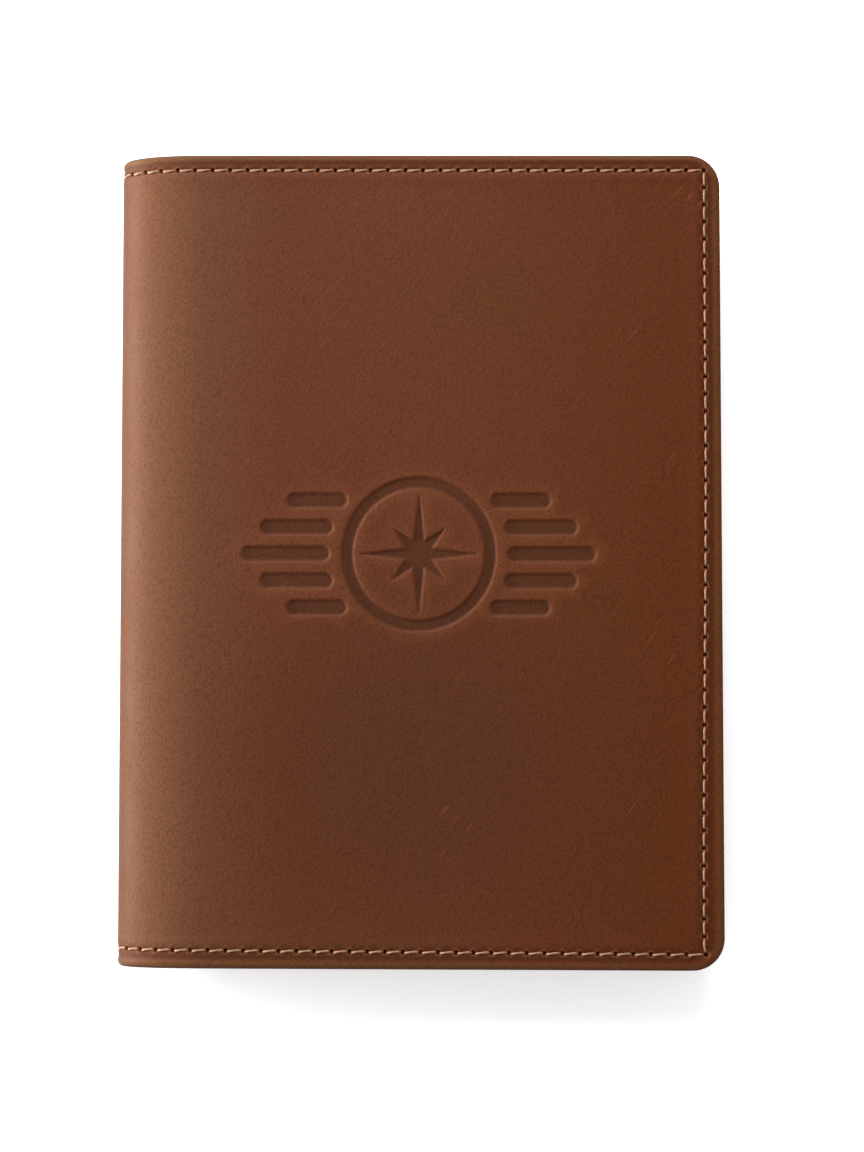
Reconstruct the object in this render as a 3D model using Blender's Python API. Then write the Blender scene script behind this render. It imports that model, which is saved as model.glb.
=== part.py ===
"""Passport holder: a leather cover that folds like a book round a soft, rounded spine.

The holder lies closed on its back cover. +X points from the spine to the fore-edge, +Y to the top
edge and +Z from the back cover up to the front cover. The origin is the middle of the underside.

Each cover is a stack of flat layers, built in its own cover frame: x and y as above, and z the depth
below the outer surface, towards the inside of the holder. The back cover's frame is the world's. The
front cover's frame is turned over, so the same functions build both.
"""

import math

import bmesh
import bpy

MM = 0.001

# Overall size, closed.
WIDTH = 104 * MM
HEIGHT = 140 * MM
THICKNESS = 15.4 * MM
CORNER_RADIUS = 5.5 * MM

# The rounded spine: a quarter of a superellipse from each cover to the middle of the spine.
SPINE_REACH = 15 * MM
SPINE_POWER = 2.2
HINGE_INSET = 1.8 * MM

# Thickness of each kind of layer, and the gap that lies between two of them. The leather is pared
# thinner where it turns over the edge.
LEATHER = 0.9 * MM
PARED_LEATHER = 0.6 * MM
BOARD = 0.6 * MM
LINING = 0.3 * MM
SLEEVE_HEM = 0.5 * MM
SLEEVE = 0.6 * MM
CARD_PANEL = 0.45 * MM
GAP = 0.25 * MM

# How far the layers sit in from the outline, and how wide the turned edges are.
HEM_WIDTH = 8 * MM
LINING_INSET = 1.0 * MM
SLEEVE_INSET = 0.8 * MM
SLEEVE_HEM_WIDTH = 5 * MM
HEM_OVERRUN = 1.0 * MM
HEM_CORNER_RADIUS = 1.5 * MM

# The seam: its distance from the edge, the groove it is pulled into, and the needle thread in the
# groove. The bobbin thread lies on the innermost layer, and climbs from layer to layer on a slope.
SEAM_INSET = 2.75 * MM
SEAM_CORNER_RADIUS = 0.6 * MM
GROOVE_WIDTH = 1.0 * MM
GROOVE_DEPTH = 0.6 * MM
THREAD_WIDTH = 0.5 * MM
THREAD_DEPTH = 0.35 * MM
BOBBIN_RADIUS = 0.175 * MM
BOBBIN_CLEARANCE = 0.6 * MM
BOBBIN_SLOPE_RUN = 2.0 * MM
CARD_SEAM_INSET = 2.0 * MM

# Pockets: where each one's free edge lies, and the notches for a thumb.
BOARD_START_X = -38 * MM
SLIP_POCKET_MOUTH_X = -40.5 * MM
PASSPORT_SLEEVE_MOUTH_X = -8 * MM
CARD_PANEL_START_X = -40.5 * MM
LOWEST_CARD_MOUTH_Y = -25 * MM
CARD_MOUTH_STEP = 13 * MM
NOTCH_RADIUS = 9 * MM
SLIP_NOTCH_Y = 34 * MM
MOUTH_CORNER_RADIUS = 3 * MM

# How finely curves are cut.
SPINE_STEPS = 8
CORNER_STEPS = 6
NOTCH_STEPS = 12
THREAD_SIDES_RESOLUTION = 1

FORE_X = WIDTH / 2
SPINE_X = -WIDTH / 2
FLAT_X = SPINE_X + SPINE_REACH
HALF_HEIGHT = HEIGHT / 2
HALF_THICKNESS = THICKNESS / 2
CUTTER_MARGIN = 5 * MM
SEALED_DEPTH = THICKNESS + CUTTER_MARGIN

# Depth at which each layer starts, counted from the outer surface.
HEM_DEPTH = LEATHER + GAP
BOARD_DEPTH = LEATHER + GAP
LINING_DEPTH = HEM_DEPTH + PARED_LEATHER + GAP
SLEEVE_HEM_DEPTH = LINING_DEPTH + LINING + GAP
SLEEVE_DEPTH = SLEEVE_HEM_DEPTH + SLEEVE_HEM + GAP
CARD_DEPTH = SLEEVE_DEPTH + SLEEVE + GAP
CARD_DEPTH_STEP = CARD_PANEL + GAP

# Depth of the bobbin thread's middle on each layer.
THREAD_ON_LINING = LINING_DEPTH + LINING + GAP + BOBBIN_RADIUS
THREAD_ON_SLEEVE = SLEEVE_DEPTH + SLEEVE + GAP + BOBBIN_RADIUS
THREAD_ON_UPPER_CARD = CARD_DEPTH + CARD_PANEL + GAP + BOBBIN_RADIUS


def clear_scene():
    for obj in list(bpy.data.objects):
        bpy.data.objects.remove(obj)


def make_material(name, color, roughness):
    material = bpy.data.materials.new(name)
    material.use_nodes = True
    shader = material.node_tree.nodes["Principled BSDF"]
    shader.inputs["Base Color"].default_value = (*color, 1.0)
    shader.inputs["Roughness"].default_value = roughness
    shader.inputs["Metallic"].default_value = 0.0
    return material


def make_empty(name, parent=None, location=(0, 0, 0), turned_over=False):
    """An empty at a place in the world, which its children are placed from."""
    empty = bpy.data.objects.new(name, None)
    bpy.context.scene.collection.objects.link(empty)
    empty.location = location
    if parent:
        empty.parent = parent
        empty.location = [a - b for a, b in zip(location, parent.matrix_world.translation)]
    if turned_over:
        empty.rotation_euler.x = math.pi
    bpy.context.view_layer.update()
    return empty


def prism(name, polygon, axes, start, end, material=None):
    """An object whose mesh is a polygon in the plane of the two named axes, extruded from start to end
    along the third. The mesh is in the frame of the object's parent."""
    third = ({0, 1, 2} - set(axes)).pop()
    mesh = bpy.data.meshes.new(name)
    solid = bmesh.new()
    corners = []
    for point in polygon:
        place = [start, start, start]
        place[axes[0]], place[axes[1]] = point
        corners.append(solid.verts.new(place))
    face = solid.faces.new(corners)
    made = bmesh.ops.extrude_face_region(solid, geom=[face])
    shift = [0, 0, 0]
    shift[third] = end - start
    moved = [item for item in made["geom"] if isinstance(item, bmesh.types.BMVert)]
    bmesh.ops.translate(solid, verts=moved, vec=shift)
    bmesh.ops.recalc_face_normals(solid, faces=solid.faces)
    solid.to_mesh(mesh)
    solid.free()
    obj = bpy.data.objects.new(name, mesh)
    bpy.context.scene.collection.objects.link(obj)
    if material:
        mesh.materials.append(material)
    return obj


def plate(name, polygon, depth, thickness, material):
    """A flat layer: an outline in x and y, placed at its depth."""
    obj = prism(name, polygon, (0, 1), 0, thickness, material)
    obj.location.z = depth
    return obj


def as_cutter(obj):
    obj.hide_render = True
    obj.display_type = "WIRE"
    return obj


def cut(obj, cutter, operation):
    modifier = obj.modifiers.new(operation.lower(), "BOOLEAN")
    modifier.operation = operation
    modifier.object = cutter
    modifier.solver = "EXACT"


def spine_point(angle, depth):
    """A point of the spine's lower quarter, in cover-frame x and z. The angle is 0 at the middle of the
    spine and a quarter turn where the flat cover starts; depth is measured inwards."""
    along, across = math.cos(angle), math.sin(angle)
    power = 2 / SPINE_POWER
    reach, rise = abs(along) ** power, abs(across) ** power
    normal_x = reach ** (SPINE_POWER - 1) / SPINE_REACH
    normal_z = rise ** (SPINE_POWER - 1) / HALF_THICKNESS
    length = math.hypot(normal_x, normal_z)
    x = FLAT_X - SPINE_REACH * reach + depth * normal_x / length
    z = HALF_THICKNESS * (1 - rise) + depth * normal_z / length
    return x, z


def split_angle():
    """The spine angle whose outer point lies nearest the hinge axis. The leather parts there."""
    hinge = (SPINE_X + HINGE_INSET, HINGE_INSET)
    steps = 200
    angles = [math.pi / 2 * i / steps for i in range(steps + 1)]
    return min(angles, key=lambda a: math.dist(spine_point(a, 0), hinge))


def gap_angle(angle):
    """How far the spine angle turns over half a gap of outer surface."""
    step = 0.01
    length = math.dist(spine_point(angle, 0), spine_point(angle + step, 0))
    return step * GAP / 2 / length


SPLIT = split_angle()
COVER_END = SPLIT + gap_angle(SPLIT)
SPINE_END = SPLIT - gap_angle(SPLIT)


def angles_between(first, last):
    return [first + (last - first) * i / SPINE_STEPS for i in range(SPINE_STEPS + 1)]


def cover_section(depth, thickness, past_split=False):
    """Section in x and z of a layer that runs from beyond the fore-edge round to the hinge."""
    end = SPINE_END if past_split else COVER_END
    turn = angles_between(math.pi / 2, end)
    far_x = FORE_X + CUTTER_MARGIN
    outer = [(far_x, depth)] + [spine_point(a, depth) for a in turn]
    inner = [(far_x, depth + thickness)] + [spine_point(a, depth + thickness) for a in turn]
    return outer + inner[::-1]


def spine_section(depth, thickness):
    """Section in x and z of a layer that runs round the spine from hinge to hinge, in the world."""
    turn = angles_between(SPINE_END, 0)

    def round_the_spine(at_depth):
        lower = [spine_point(a, at_depth) for a in turn]
        upper = [(x, THICKNESS - z) for x, z in lower[-2::-1]]
        return lower + upper

    return round_the_spine(depth) + round_the_spine(depth + thickness)[::-1]


def arc(centre, radius, first_degrees, last_degrees, steps):
    points = []
    for i in range(steps + 1):
        angle = math.radians(first_degrees + (last_degrees - first_degrees) * i / steps)
        points.append((centre[0] + radius * math.cos(angle), centre[1] + radius * math.sin(angle)))
    return points


def cover_outline(start_x, inset, low_y=None, high_y=None, radius=None):
    """Outline in x and y from start_x to the fore-edge, with round fore-edge corners where it runs to
    the cover's own edge. It goes anticlockwise from the bottom corner at start_x."""
    edge_x, edge_y = FORE_X - inset, HALF_HEIGHT - inset
    radius = CORNER_RADIUS - inset if radius is None else radius
    bottom = -edge_y if low_y is None else low_y
    top = edge_y if high_y is None else high_y
    points = [(start_x, bottom)]
    if low_y is None:
        points += arc((edge_x - radius, bottom + radius), radius, -90, 0, CORNER_STEPS)
    else:
        points.append((edge_x, bottom))
    if high_y is None:
        points += arc((edge_x - radius, top - radius), radius, 0, 90, CORNER_STEPS)
    else:
        points.append((edge_x, top))
    return points + [(start_x, top)]


def edge_strip(start_x, inset, width, inner_radius, outer_radius=None):
    """A U-shaped strip that follows the bottom, fore-edge and top edges of a cover."""
    outer = cover_outline(start_x, inset, radius=outer_radius)
    inner = cover_outline(start_x, inset + width, radius=inner_radius)
    return outer + inner[::-1]


def seam_strip(width):
    """The strip of a given width along the seam, whose rows meet in tight corners."""
    outer, inner = SEAM_CORNER_RADIUS + width / 2, max(SEAM_CORNER_RADIUS - width / 2, GAP / 2)
    return edge_strip(SPINE_X - CUTTER_MARGIN, SEAM_INSET - width / 2, width, inner, outer)


def mouth_with_notch(x, low_y, high_y, notch_y):
    """A pocket's free edge facing the spine, from top to bottom, with a round thumb notch."""
    notch = [(x + abs(dx), y) for dx, y in arc((0, notch_y), NOTCH_RADIUS, 90, -90, NOTCH_STEPS)]
    return [(x, high_y)] + notch + [(x, low_y)]


def pocket_outline(mouth_x, inset, notch_y):
    """Outline of a full-height pocket whose mouth faces the spine."""
    outline = cover_outline(mouth_x, inset)
    edge_y = HALF_HEIGHT - inset
    return outline[1:-1] + mouth_with_notch(mouth_x, -edge_y, edge_y, notch_y)


def card_mouth_y(level):
    """Height of a card slot's mouth: level 0 is the highest slot, and lies deepest."""
    return LOWEST_CARD_MOUTH_Y + (2 - level) * CARD_MOUTH_STEP


def card_outline(mouth_y):
    """Outline in the world's x and y of a card slot panel, with its mouth towards the top edge."""
    edge_x = FORE_X - SLEEVE_INSET
    edge_y = HALF_HEIGHT - SLEEVE_INSET
    radius = CORNER_RADIUS - SLEEVE_INSET
    bottom = arc((edge_x - radius, radius - edge_y), radius, -90, 0, CORNER_STEPS)
    soft = arc(
        (CARD_PANEL_START_X + MOUTH_CORNER_RADIUS, mouth_y - MOUTH_CORNER_RADIUS),
        MOUTH_CORNER_RADIUS, 90, 180, CORNER_STEPS,
    )
    return [(CARD_PANEL_START_X, -edge_y)] + bottom + [(edge_x, mouth_y)] + soft


def cover_sheet(name, depth, thickness, outline, material=None, past_split=False):
    """A layer that follows the cover and its share of the spine, trimmed to an outline."""
    section = cover_section(depth, thickness, past_split)
    far_y = HALF_HEIGHT + CUTTER_MARGIN
    sheet = prism(name, section, (0, 2), -far_y, far_y, material)
    trim = prism(name + "_trim", outline, (0, 1), -SEALED_DEPTH, SEALED_DEPTH)
    cut(sheet, as_cutter(trim), "INTERSECT")
    return [sheet, trim]


def cover_leather(name, material):
    """The outer leather of one cover, with the groove that its seam is pulled into."""
    made = cover_sheet(name, 0, LEATHER, cover_outline(SPINE_X - CUTTER_MARGIN, 0), material)
    strip = seam_strip(GROOVE_WIDTH)
    groove = cover_sheet(name + "_groove", -GAP, GROOVE_DEPTH + GAP, strip, past_split=True)
    cut(made[0], as_cutter(groove[0]), "DIFFERENCE")
    return made + groove


def build_cover_shell(side, frame, materials):
    """The layers that both covers have: leather, turned edge, board, lining and needle thread."""
    start_x = SPINE_X - CUTTER_MARGIN
    made = cover_leather(side + "_cover_leather", materials["leather"])
    hem = edge_strip(start_x, LINING_INSET, HEM_WIDTH - LINING_INSET, HEM_CORNER_RADIUS)
    made += cover_sheet(side + "_cover_hem", HEM_DEPTH, PARED_LEATHER, hem, materials["leather"])
    board = cover_outline(BOARD_START_X, HEM_WIDTH + GAP, radius=HEM_CORNER_RADIUS)
    made.append(plate(side + "_board", board, BOARD_DEPTH, BOARD, materials["board"]))
    lining = cover_outline(start_x, LINING_INSET)
    made += cover_sheet(side + "_lining", LINING_DEPTH, LINING, lining, materials["lining"])
    thread = seam_strip(THREAD_WIDTH)
    made += cover_sheet(side + "_needle_thread", 0, THREAD_DEPTH, thread, materials["thread"])
    adopt(made, frame)


def build_pocket(name, frame, mouth_x, notch_y, material):
    """A full-height pocket panel and the turned edge that holds it off the lining on three sides. The
    turned edge stops where the cover starts to curve."""
    start_x = max(mouth_x, FLAT_X - HEM_OVERRUN)
    strip = edge_strip(start_x, SLEEVE_INSET, SLEEVE_HEM_WIDTH, HEM_CORNER_RADIUS)
    hem = plate(name + "_hem", strip, SLEEVE_HEM_DEPTH, SLEEVE_HEM, material)
    outline = pocket_outline(mouth_x, SLEEVE_INSET, notch_y)
    panel = plate(name, outline, SLEEVE_DEPTH, SLEEVE, material)
    adopt([hem, panel], frame)


def build_card_slots(frame, material):
    """Three card panels, each lying on the one behind it with its mouth lower down."""
    for level, place in enumerate(("upper", "middle", "lower")):
        outline = [(x, -y) for x, y in card_outline(card_mouth_y(level))]
        depth = CARD_DEPTH + level * CARD_DEPTH_STEP
        adopt([plate("card_slot_" + place, outline, depth, CARD_PANEL, material)], frame)


def thread_tube(name, route, frame, material):
    """A thread as a round tube along a list of points in a cover's frame."""
    curve = bpy.data.curves.new(name, "CURVE")
    curve.dimensions = "3D"
    curve.bevel_depth = BOBBIN_RADIUS
    curve.bevel_resolution = THREAD_SIDES_RESOLUTION
    curve.use_fill_caps = True
    curve.materials.append(material)
    spline = curve.splines.new("POLY")
    spline.points.add(len(route) - 1)
    for point, place in zip(spline.points, route):
        point.co = (*place, 1.0)
    thread = bpy.data.objects.new(name, curve)
    bpy.context.scene.collection.objects.link(thread)
    adopt([thread], frame)


def row_from_spine(y, mouth_x, depth):
    """Bobbin thread along one edge: round the spine's share on the lining, then up on to a pocket."""
    slope_end = mouth_x - BOBBIN_CLEARANCE
    slope_start = slope_end - BOBBIN_SLOPE_RUN
    turn = [spine_point(a, THREAD_ON_LINING) for a in angles_between(COVER_END, math.pi / 2)]
    if slope_start > FLAT_X:
        turn.append((slope_start, THREAD_ON_LINING))
    on_lining = [(x, y, z) for x, z in turn if x <= slope_start]
    return on_lining + [(slope_end, y, depth)]


def steps_between_card_panels(x):
    """Bobbin thread that climbs down from the lowest card panel to the pocket behind them all."""
    route = []
    for level in (2, 1, 0):
        mouth_y = -card_mouth_y(level) - BOBBIN_CLEARANCE
        depth = THREAD_ON_UPPER_CARD + level * CARD_DEPTH_STEP
        below = depth - CARD_DEPTH_STEP if level else THREAD_ON_SLEEVE
        route += [(x, mouth_y, depth), (x, mouth_y - BOBBIN_SLOPE_RUN, below)]
    return route


def build_bobbin_threads(back, front, material):
    """The seam's inner thread on each cover, and the row that closes the card slots' spine side."""
    seam_x, seam_y = FORE_X - SEAM_INSET, HALF_HEIGHT - SEAM_INSET
    mouth_x = PASSPORT_SLEEVE_MOUTH_X
    route = row_from_spine(-seam_y, mouth_x, THREAD_ON_SLEEVE)
    route += [(seam_x, -seam_y, THREAD_ON_SLEEVE), (seam_x, seam_y, THREAD_ON_SLEEVE)]
    route += row_from_spine(seam_y, mouth_x, THREAD_ON_SLEEVE)[::-1]
    thread_tube("back_bobbin_thread", route, back, material)

    mouth_x = SLIP_POCKET_MOUTH_X
    lowest = THREAD_ON_UPPER_CARD + 2 * CARD_DEPTH_STEP
    route = row_from_spine(seam_y, mouth_x, lowest) + [(seam_x, seam_y, lowest)]
    route += steps_between_card_panels(seam_x) + [(seam_x, -seam_y, THREAD_ON_SLEEVE)]
    route += row_from_spine(-seam_y, mouth_x, THREAD_ON_SLEEVE)[::-1]
    thread_tube("front_bobbin_thread", route, front, material)

    row_x = CARD_PANEL_START_X + CARD_SEAM_INSET
    row = [(row_x, seam_y - 2 * BOBBIN_CLEARANCE, lowest)] + steps_between_card_panels(row_x)
    thread_tube("card_slot_thread", row, front, material)


def spine_sheet(name, depth, thickness, low_y, high_y, material=None):
    return prism(name, spine_section(depth, thickness), (0, 2), low_y, high_y, material)


def build_spine(hinge, materials):
    """The leather round the spine, its two turned ends, its lining and its two runs of thread."""
    leather = spine_sheet("spine_leather", 0, LEATHER, -HALF_HEIGHT, HALF_HEIGHT, materials["leather"])
    lining_y = HALF_HEIGHT - LINING_INSET
    lining = spine_sheet("spine_lining", LINING_DEPTH, LINING, -lining_y, lining_y, materials["lining"])
    seam_y = HALF_HEIGHT - SEAM_INSET
    made = [leather, lining]
    for place, sign in (("top", 1), ("bottom", -1)):
        hem_ys = sorted((sign * (HALF_HEIGHT - HEM_WIDTH), sign * lining_y))
        hem = spine_sheet("spine_hem_" + place, HEM_DEPTH, PARED_LEATHER, *hem_ys, materials["leather"])
        needle = spine_thread("spine_needle_thread_" + place, 0, sign * seam_y, materials["thread"])
        on_lining = THREAD_ON_LINING - BOBBIN_RADIUS
        bobbin = spine_thread(
            "spine_bobbin_thread_" + place, on_lining, sign * seam_y, materials["thread"]
        )
        groove = spine_groove("spine_groove_" + place, sign * seam_y)
        cut(leather, groove, "DIFFERENCE")
        made += [hem, needle, bobbin, groove]
    adopt(made, hinge)


def spine_thread(name, depth, centre_y, material):
    low_y, high_y = centre_y - THREAD_WIDTH / 2, centre_y + THREAD_WIDTH / 2
    return spine_sheet(name, depth, THREAD_DEPTH, low_y, high_y, material)


def spine_groove(name, centre_y):
    """A cutter that runs round the whole spine and past both of its ends."""
    turn = angles_between(COVER_END + (SPLIT - SPINE_END), 0)

    def round_the_spine(at_depth):
        lower = [spine_point(a, at_depth) for a in turn]
        return lower + [(x, THICKNESS - z) for x, z in lower[-2::-1]]

    section = round_the_spine(-GAP) + round_the_spine(GROOVE_DEPTH)[::-1]
    low_y, high_y = centre_y - GROOVE_WIDTH / 2, centre_y + GROOVE_WIDTH / 2
    return as_cutter(prism(name, section, (0, 2), low_y, high_y))


def adopt(objects, frame):
    """Parents objects that are modelled in the frame of an empty, and keep them there."""
    for obj in objects:
        obj.parent = frame


def build():
    clear_scene()
    materials = {
        "leather": make_material("leather", (0.155, 0.058, 0.026), 0.45),
        "inner_leather": make_material("inner_leather", (0.120, 0.046, 0.022), 0.5),
        "lining": make_material("lining", (0.060, 0.036, 0.024), 0.85),
        "board": make_material("board", (0.300, 0.260, 0.200), 0.9),
        "thread": make_material("thread", (0.500, 0.270, 0.140), 0.6),
    }
    back = make_empty("back_cover_frame")
    hinge_x = SPINE_X + HINGE_INSET
    spine_hinge = make_empty("spine_hinge", location=(hinge_x, 0, HINGE_INSET))
    front_hinge = make_empty(
        "front_cover_hinge", parent=spine_hinge, location=(hinge_x, 0, THICKNESS - HINGE_INSET)
    )
    spine = make_empty("spine_frame", parent=spine_hinge)
    front = make_empty("front_cover_frame", front_hinge, (0, 0, THICKNESS), turned_over=True)

    build_cover_shell("back", back, materials)
    build_pocket("passport_sleeve", back, PASSPORT_SLEEVE_MOUTH_X, 0, materials["inner_leather"])
    build_cover_shell("front", front, materials)
    build_pocket("slip_pocket", front, SLIP_POCKET_MOUTH_X, -SLIP_NOTCH_Y, materials["inner_leather"])
    build_card_slots(front, materials["inner_leather"])
    build_bobbin_threads(back, front, materials["thread"])
    build_spine(spine, materials)


build()
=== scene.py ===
"""Looks of the passport holder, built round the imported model's frame.

Every sewn or glued layer is drawn in design coordinates: s is the distance along the section from the
middle of the spine to the fore-edge, y points to the top edge, and depth is measured inwards from the
outer surface. place() turns design coordinates into the frame's x, y and z, for either cover.
"""

import math

import bmesh
import bpy
import numpy as np
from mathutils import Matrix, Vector, kdtree
from mathutils.geometry import delaunay_2d_cdt


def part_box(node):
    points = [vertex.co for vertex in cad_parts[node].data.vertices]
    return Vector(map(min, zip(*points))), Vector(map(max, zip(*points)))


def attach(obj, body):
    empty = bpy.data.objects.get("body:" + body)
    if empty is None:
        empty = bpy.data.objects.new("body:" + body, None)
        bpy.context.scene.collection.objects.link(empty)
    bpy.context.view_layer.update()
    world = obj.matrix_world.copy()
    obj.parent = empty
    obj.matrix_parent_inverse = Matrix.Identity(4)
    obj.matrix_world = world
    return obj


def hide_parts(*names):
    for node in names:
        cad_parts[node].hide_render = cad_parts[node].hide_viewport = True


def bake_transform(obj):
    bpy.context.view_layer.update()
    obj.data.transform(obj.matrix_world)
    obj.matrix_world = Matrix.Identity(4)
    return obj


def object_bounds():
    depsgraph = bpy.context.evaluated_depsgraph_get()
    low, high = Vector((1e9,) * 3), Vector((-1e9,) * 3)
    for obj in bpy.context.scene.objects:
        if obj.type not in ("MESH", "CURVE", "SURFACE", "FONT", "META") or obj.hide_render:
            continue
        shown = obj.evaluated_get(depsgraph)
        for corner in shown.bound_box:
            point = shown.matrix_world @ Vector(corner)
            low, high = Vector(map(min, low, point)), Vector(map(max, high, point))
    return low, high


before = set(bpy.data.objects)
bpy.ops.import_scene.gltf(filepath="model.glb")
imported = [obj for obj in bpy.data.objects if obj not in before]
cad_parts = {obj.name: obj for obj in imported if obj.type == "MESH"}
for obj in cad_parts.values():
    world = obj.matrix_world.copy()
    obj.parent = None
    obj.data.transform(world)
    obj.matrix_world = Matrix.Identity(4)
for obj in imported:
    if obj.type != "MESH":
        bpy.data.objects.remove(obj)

MM = 0.001

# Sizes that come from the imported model.
CAD_LOW, CAD_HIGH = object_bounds()
SPINE_X, FORE_X = CAD_LOW.x, CAD_HIGH.x
HALF_HEIGHT = CAD_HIGH.y
THICKNESS = CAD_HIGH.z
HALF_THICKNESS = THICKNESS / 2

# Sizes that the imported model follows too.
CORNER_RADIUS = 5.5 * MM
SPINE_REACH = 15 * MM
SPINE_POWER = 2.2
SEAM_INSET = 2.75 * MM
LINING_INSET = 1.0 * MM
HEM_WIDTH = 8 * MM
HEM_CORNER = 1.5 * MM
SLEEVE_INSET = 0.8 * MM
SLEEVE_HEM_WIDTH = 5 * MM
MOUTH_CORNER = 3 * MM
NOTCH_DEPTH = 9 * MM
SLIP_NOTCH_Y = 34 * MM
LEATHER = 0.9 * MM

# Finer shape that only the visible surface has.
EDGE_ROLL = 0.875 * MM
STITCH_PITCH = 3.0 * MM
THREAD_RADIUS = 0.195 * MM
HOLE_RADIUS = 0.21 * MM
HOLE_DEPTH = 0.75 * MM
GROOVE_DEPTH = 0.22 * MM
GROOVE_HALF_WIDTH = 0.42 * MM
NOTCH_RADIUS = 10 * MM
NOTCH_FILLET = 2.5 * MM
FORE_SEAM_DRIFT = 0.85 * MM
BOTTOM_SAG = 0.5 * MM
SPINE_SEAM_RISE = 0.45 * MM
EMBLEM_DEPTH = 0.30 * MM
EMBLEM_WALL = 0.40 * MM
EMBLEM_Y = 0.7 * MM
SEAM_CORNER = 0.4 * MM
POCKET_CORNER = 0.8 * MM
CREASE_INSET = 2.2 * MM
CREASE_DEPTH = 0.10 * MM
INNER_GROOVE_DEPTH = 0.2 * MM
INNER_GROOVE_HALF_WIDTH = 0.5 * MM
LAYER_STEP = 1.2 * MM

# Rows of mesh points, measured inwards from a pocket's mouth and outwards from the seam.
MOUTH_ROWS = np.array((0.9, 1.5, 1.85, 2.2, 2.55, 2.9)) * MM
SEAM_ROWS = np.array((-0.6, -0.3, 0, 0.3, 0.6)) * MM

# The strip at the middle of the spine where the section is upright.
UPRIGHT_STRIP = 0.7 * MM

# The flat part of a cover starts at FLAT_X.
FLAT_X = SPINE_X + SPINE_REACH


def smoothstep(value):
    t = np.clip(value, 0, 1)
    return t * t * (3 - 2 * t)


def bell(value):
    return np.exp(-np.square(value))


# ---- design coordinates


def spine_table(steps=600):
    """A quarter of the spine, from its middle to the flat cover: distance, x, z and inward normal."""
    angle = np.linspace(0, math.pi / 2, steps + 1)
    power = 2 / SPINE_POWER
    reach, rise = np.cos(angle).clip(0) ** power, np.sin(angle).clip(0) ** power
    x = SPINE_X + SPINE_REACH * (1 - reach)
    z = HALF_THICKNESS * (1 - rise)
    normal_x = reach ** (SPINE_POWER - 1) / SPINE_REACH
    normal_z = rise ** (SPINE_POWER - 1) / HALF_THICKNESS
    length = np.hypot(normal_x, normal_z)
    along = np.concatenate(([0], np.cumsum(np.hypot(np.diff(x), np.diff(z)))))
    return along, x, z, normal_x / length, normal_z / length


TABLE_S, *TABLE = spine_table()
SPINE_LENGTH = TABLE_S[-1]
FORE_S = SPINE_LENGTH + FORE_X - FLAT_X


def s_at(x):
    """Design s of a point on the flat part of a cover."""
    return SPINE_LENGTH + x - FLAT_X


def start_s(node):
    """Design s of the spine side of a flat node on a cover."""
    return s_at(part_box(node)[0].x)


def settle(s, y):
    """The small irregularities of a holder sewn by hand: the fore-edge seam drifts inwards towards the
    bottom, the bottom edge hangs a little lower towards the fore-edge, and its seam lies a little higher
    towards the spine."""
    share = np.clip(s / FORE_S, 0, 1)
    low = smoothstep((0.35 * HALF_HEIGHT - y) / (1.25 * HALF_HEIGHT))
    inside = smoothstep(edge_distance(s, y) / SEAM_INSET)
    new_s = s - FORE_SEAM_DRIFT * low * inside * share
    new_y = y - BOTTOM_SAG * share * np.clip((HALF_HEIGHT - y) / (2 * HALF_HEIGHT), 0, 1)
    bottom = np.clip((HALF_HEIGHT + y) / SEAM_INSET, 0, 1) * smoothstep((-y - 45 * MM) / (22 * MM))
    new_y = new_y + SPINE_SEAM_RISE * (1 - share) * bottom
    return new_s, new_y


def place(side, s, y, depth):
    """Frame coordinates of design points, as rows of x, y and z."""
    s, y, depth = np.broadcast_arrays(*(np.asarray(v, float) for v in (s, y, depth)))
    s, y = settle(s, y)
    along = np.abs(s)
    x, z, normal_x, normal_z = (np.interp(along, TABLE_S, column) for column in TABLE)
    upright = along < UPRIGHT_STRIP
    x = np.where(upright, SPINE_X, x) + np.clip(along - SPINE_LENGTH, 0, None)
    normal_x, normal_z = np.where(upright, 1, normal_x), np.where(upright, 0, normal_z)
    x, z = x + depth * normal_x, z + depth * normal_z
    over_the_top = (s < 0) != (side == "front")
    z = np.where(over_the_top, THICKNESS - z, z)
    return np.stack((x, y, z), axis=-1)


def rounded_distance(s, y, inset, radius):
    """Distance outside a cover's rounded outline, set in by inset. It is negative inside."""
    q_s = s - (FORE_S - inset - radius)
    q_y = np.abs(y) - (HALF_HEIGHT - inset - radius)
    outside = np.hypot(q_s.clip(0), q_y.clip(0))
    return outside + np.minimum(np.maximum(q_s, q_y), 0) - radius


def seam_offset(s, y):
    """Signed distance from the seam, positive towards the edge."""
    return rounded_distance(np.asarray(s), np.asarray(y), SEAM_INSET, SEAM_CORNER)


def edge_distance(s, y):
    return -rounded_distance(np.asarray(s), np.asarray(y), 0, CORNER_RADIUS)


def unit(vector):
    return vector / np.hypot(*vector)


def rows_of(s, y):
    """Points as rows of s and y, whatever the shape of s and y is."""
    return np.stack((np.ravel(s), np.ravel(y)), -1)


def arc(centre, radius, first_degrees, last_degrees, count):
    angle = np.radians(np.linspace(first_degrees, last_degrees, count, endpoint=False))
    return np.stack((centre[0] + radius * np.cos(angle), centre[1] + radius * np.sin(angle)), -1)


def straight(start, end, count, endpoint=False):
    return np.linspace(start, end, count, endpoint=endpoint)


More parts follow.
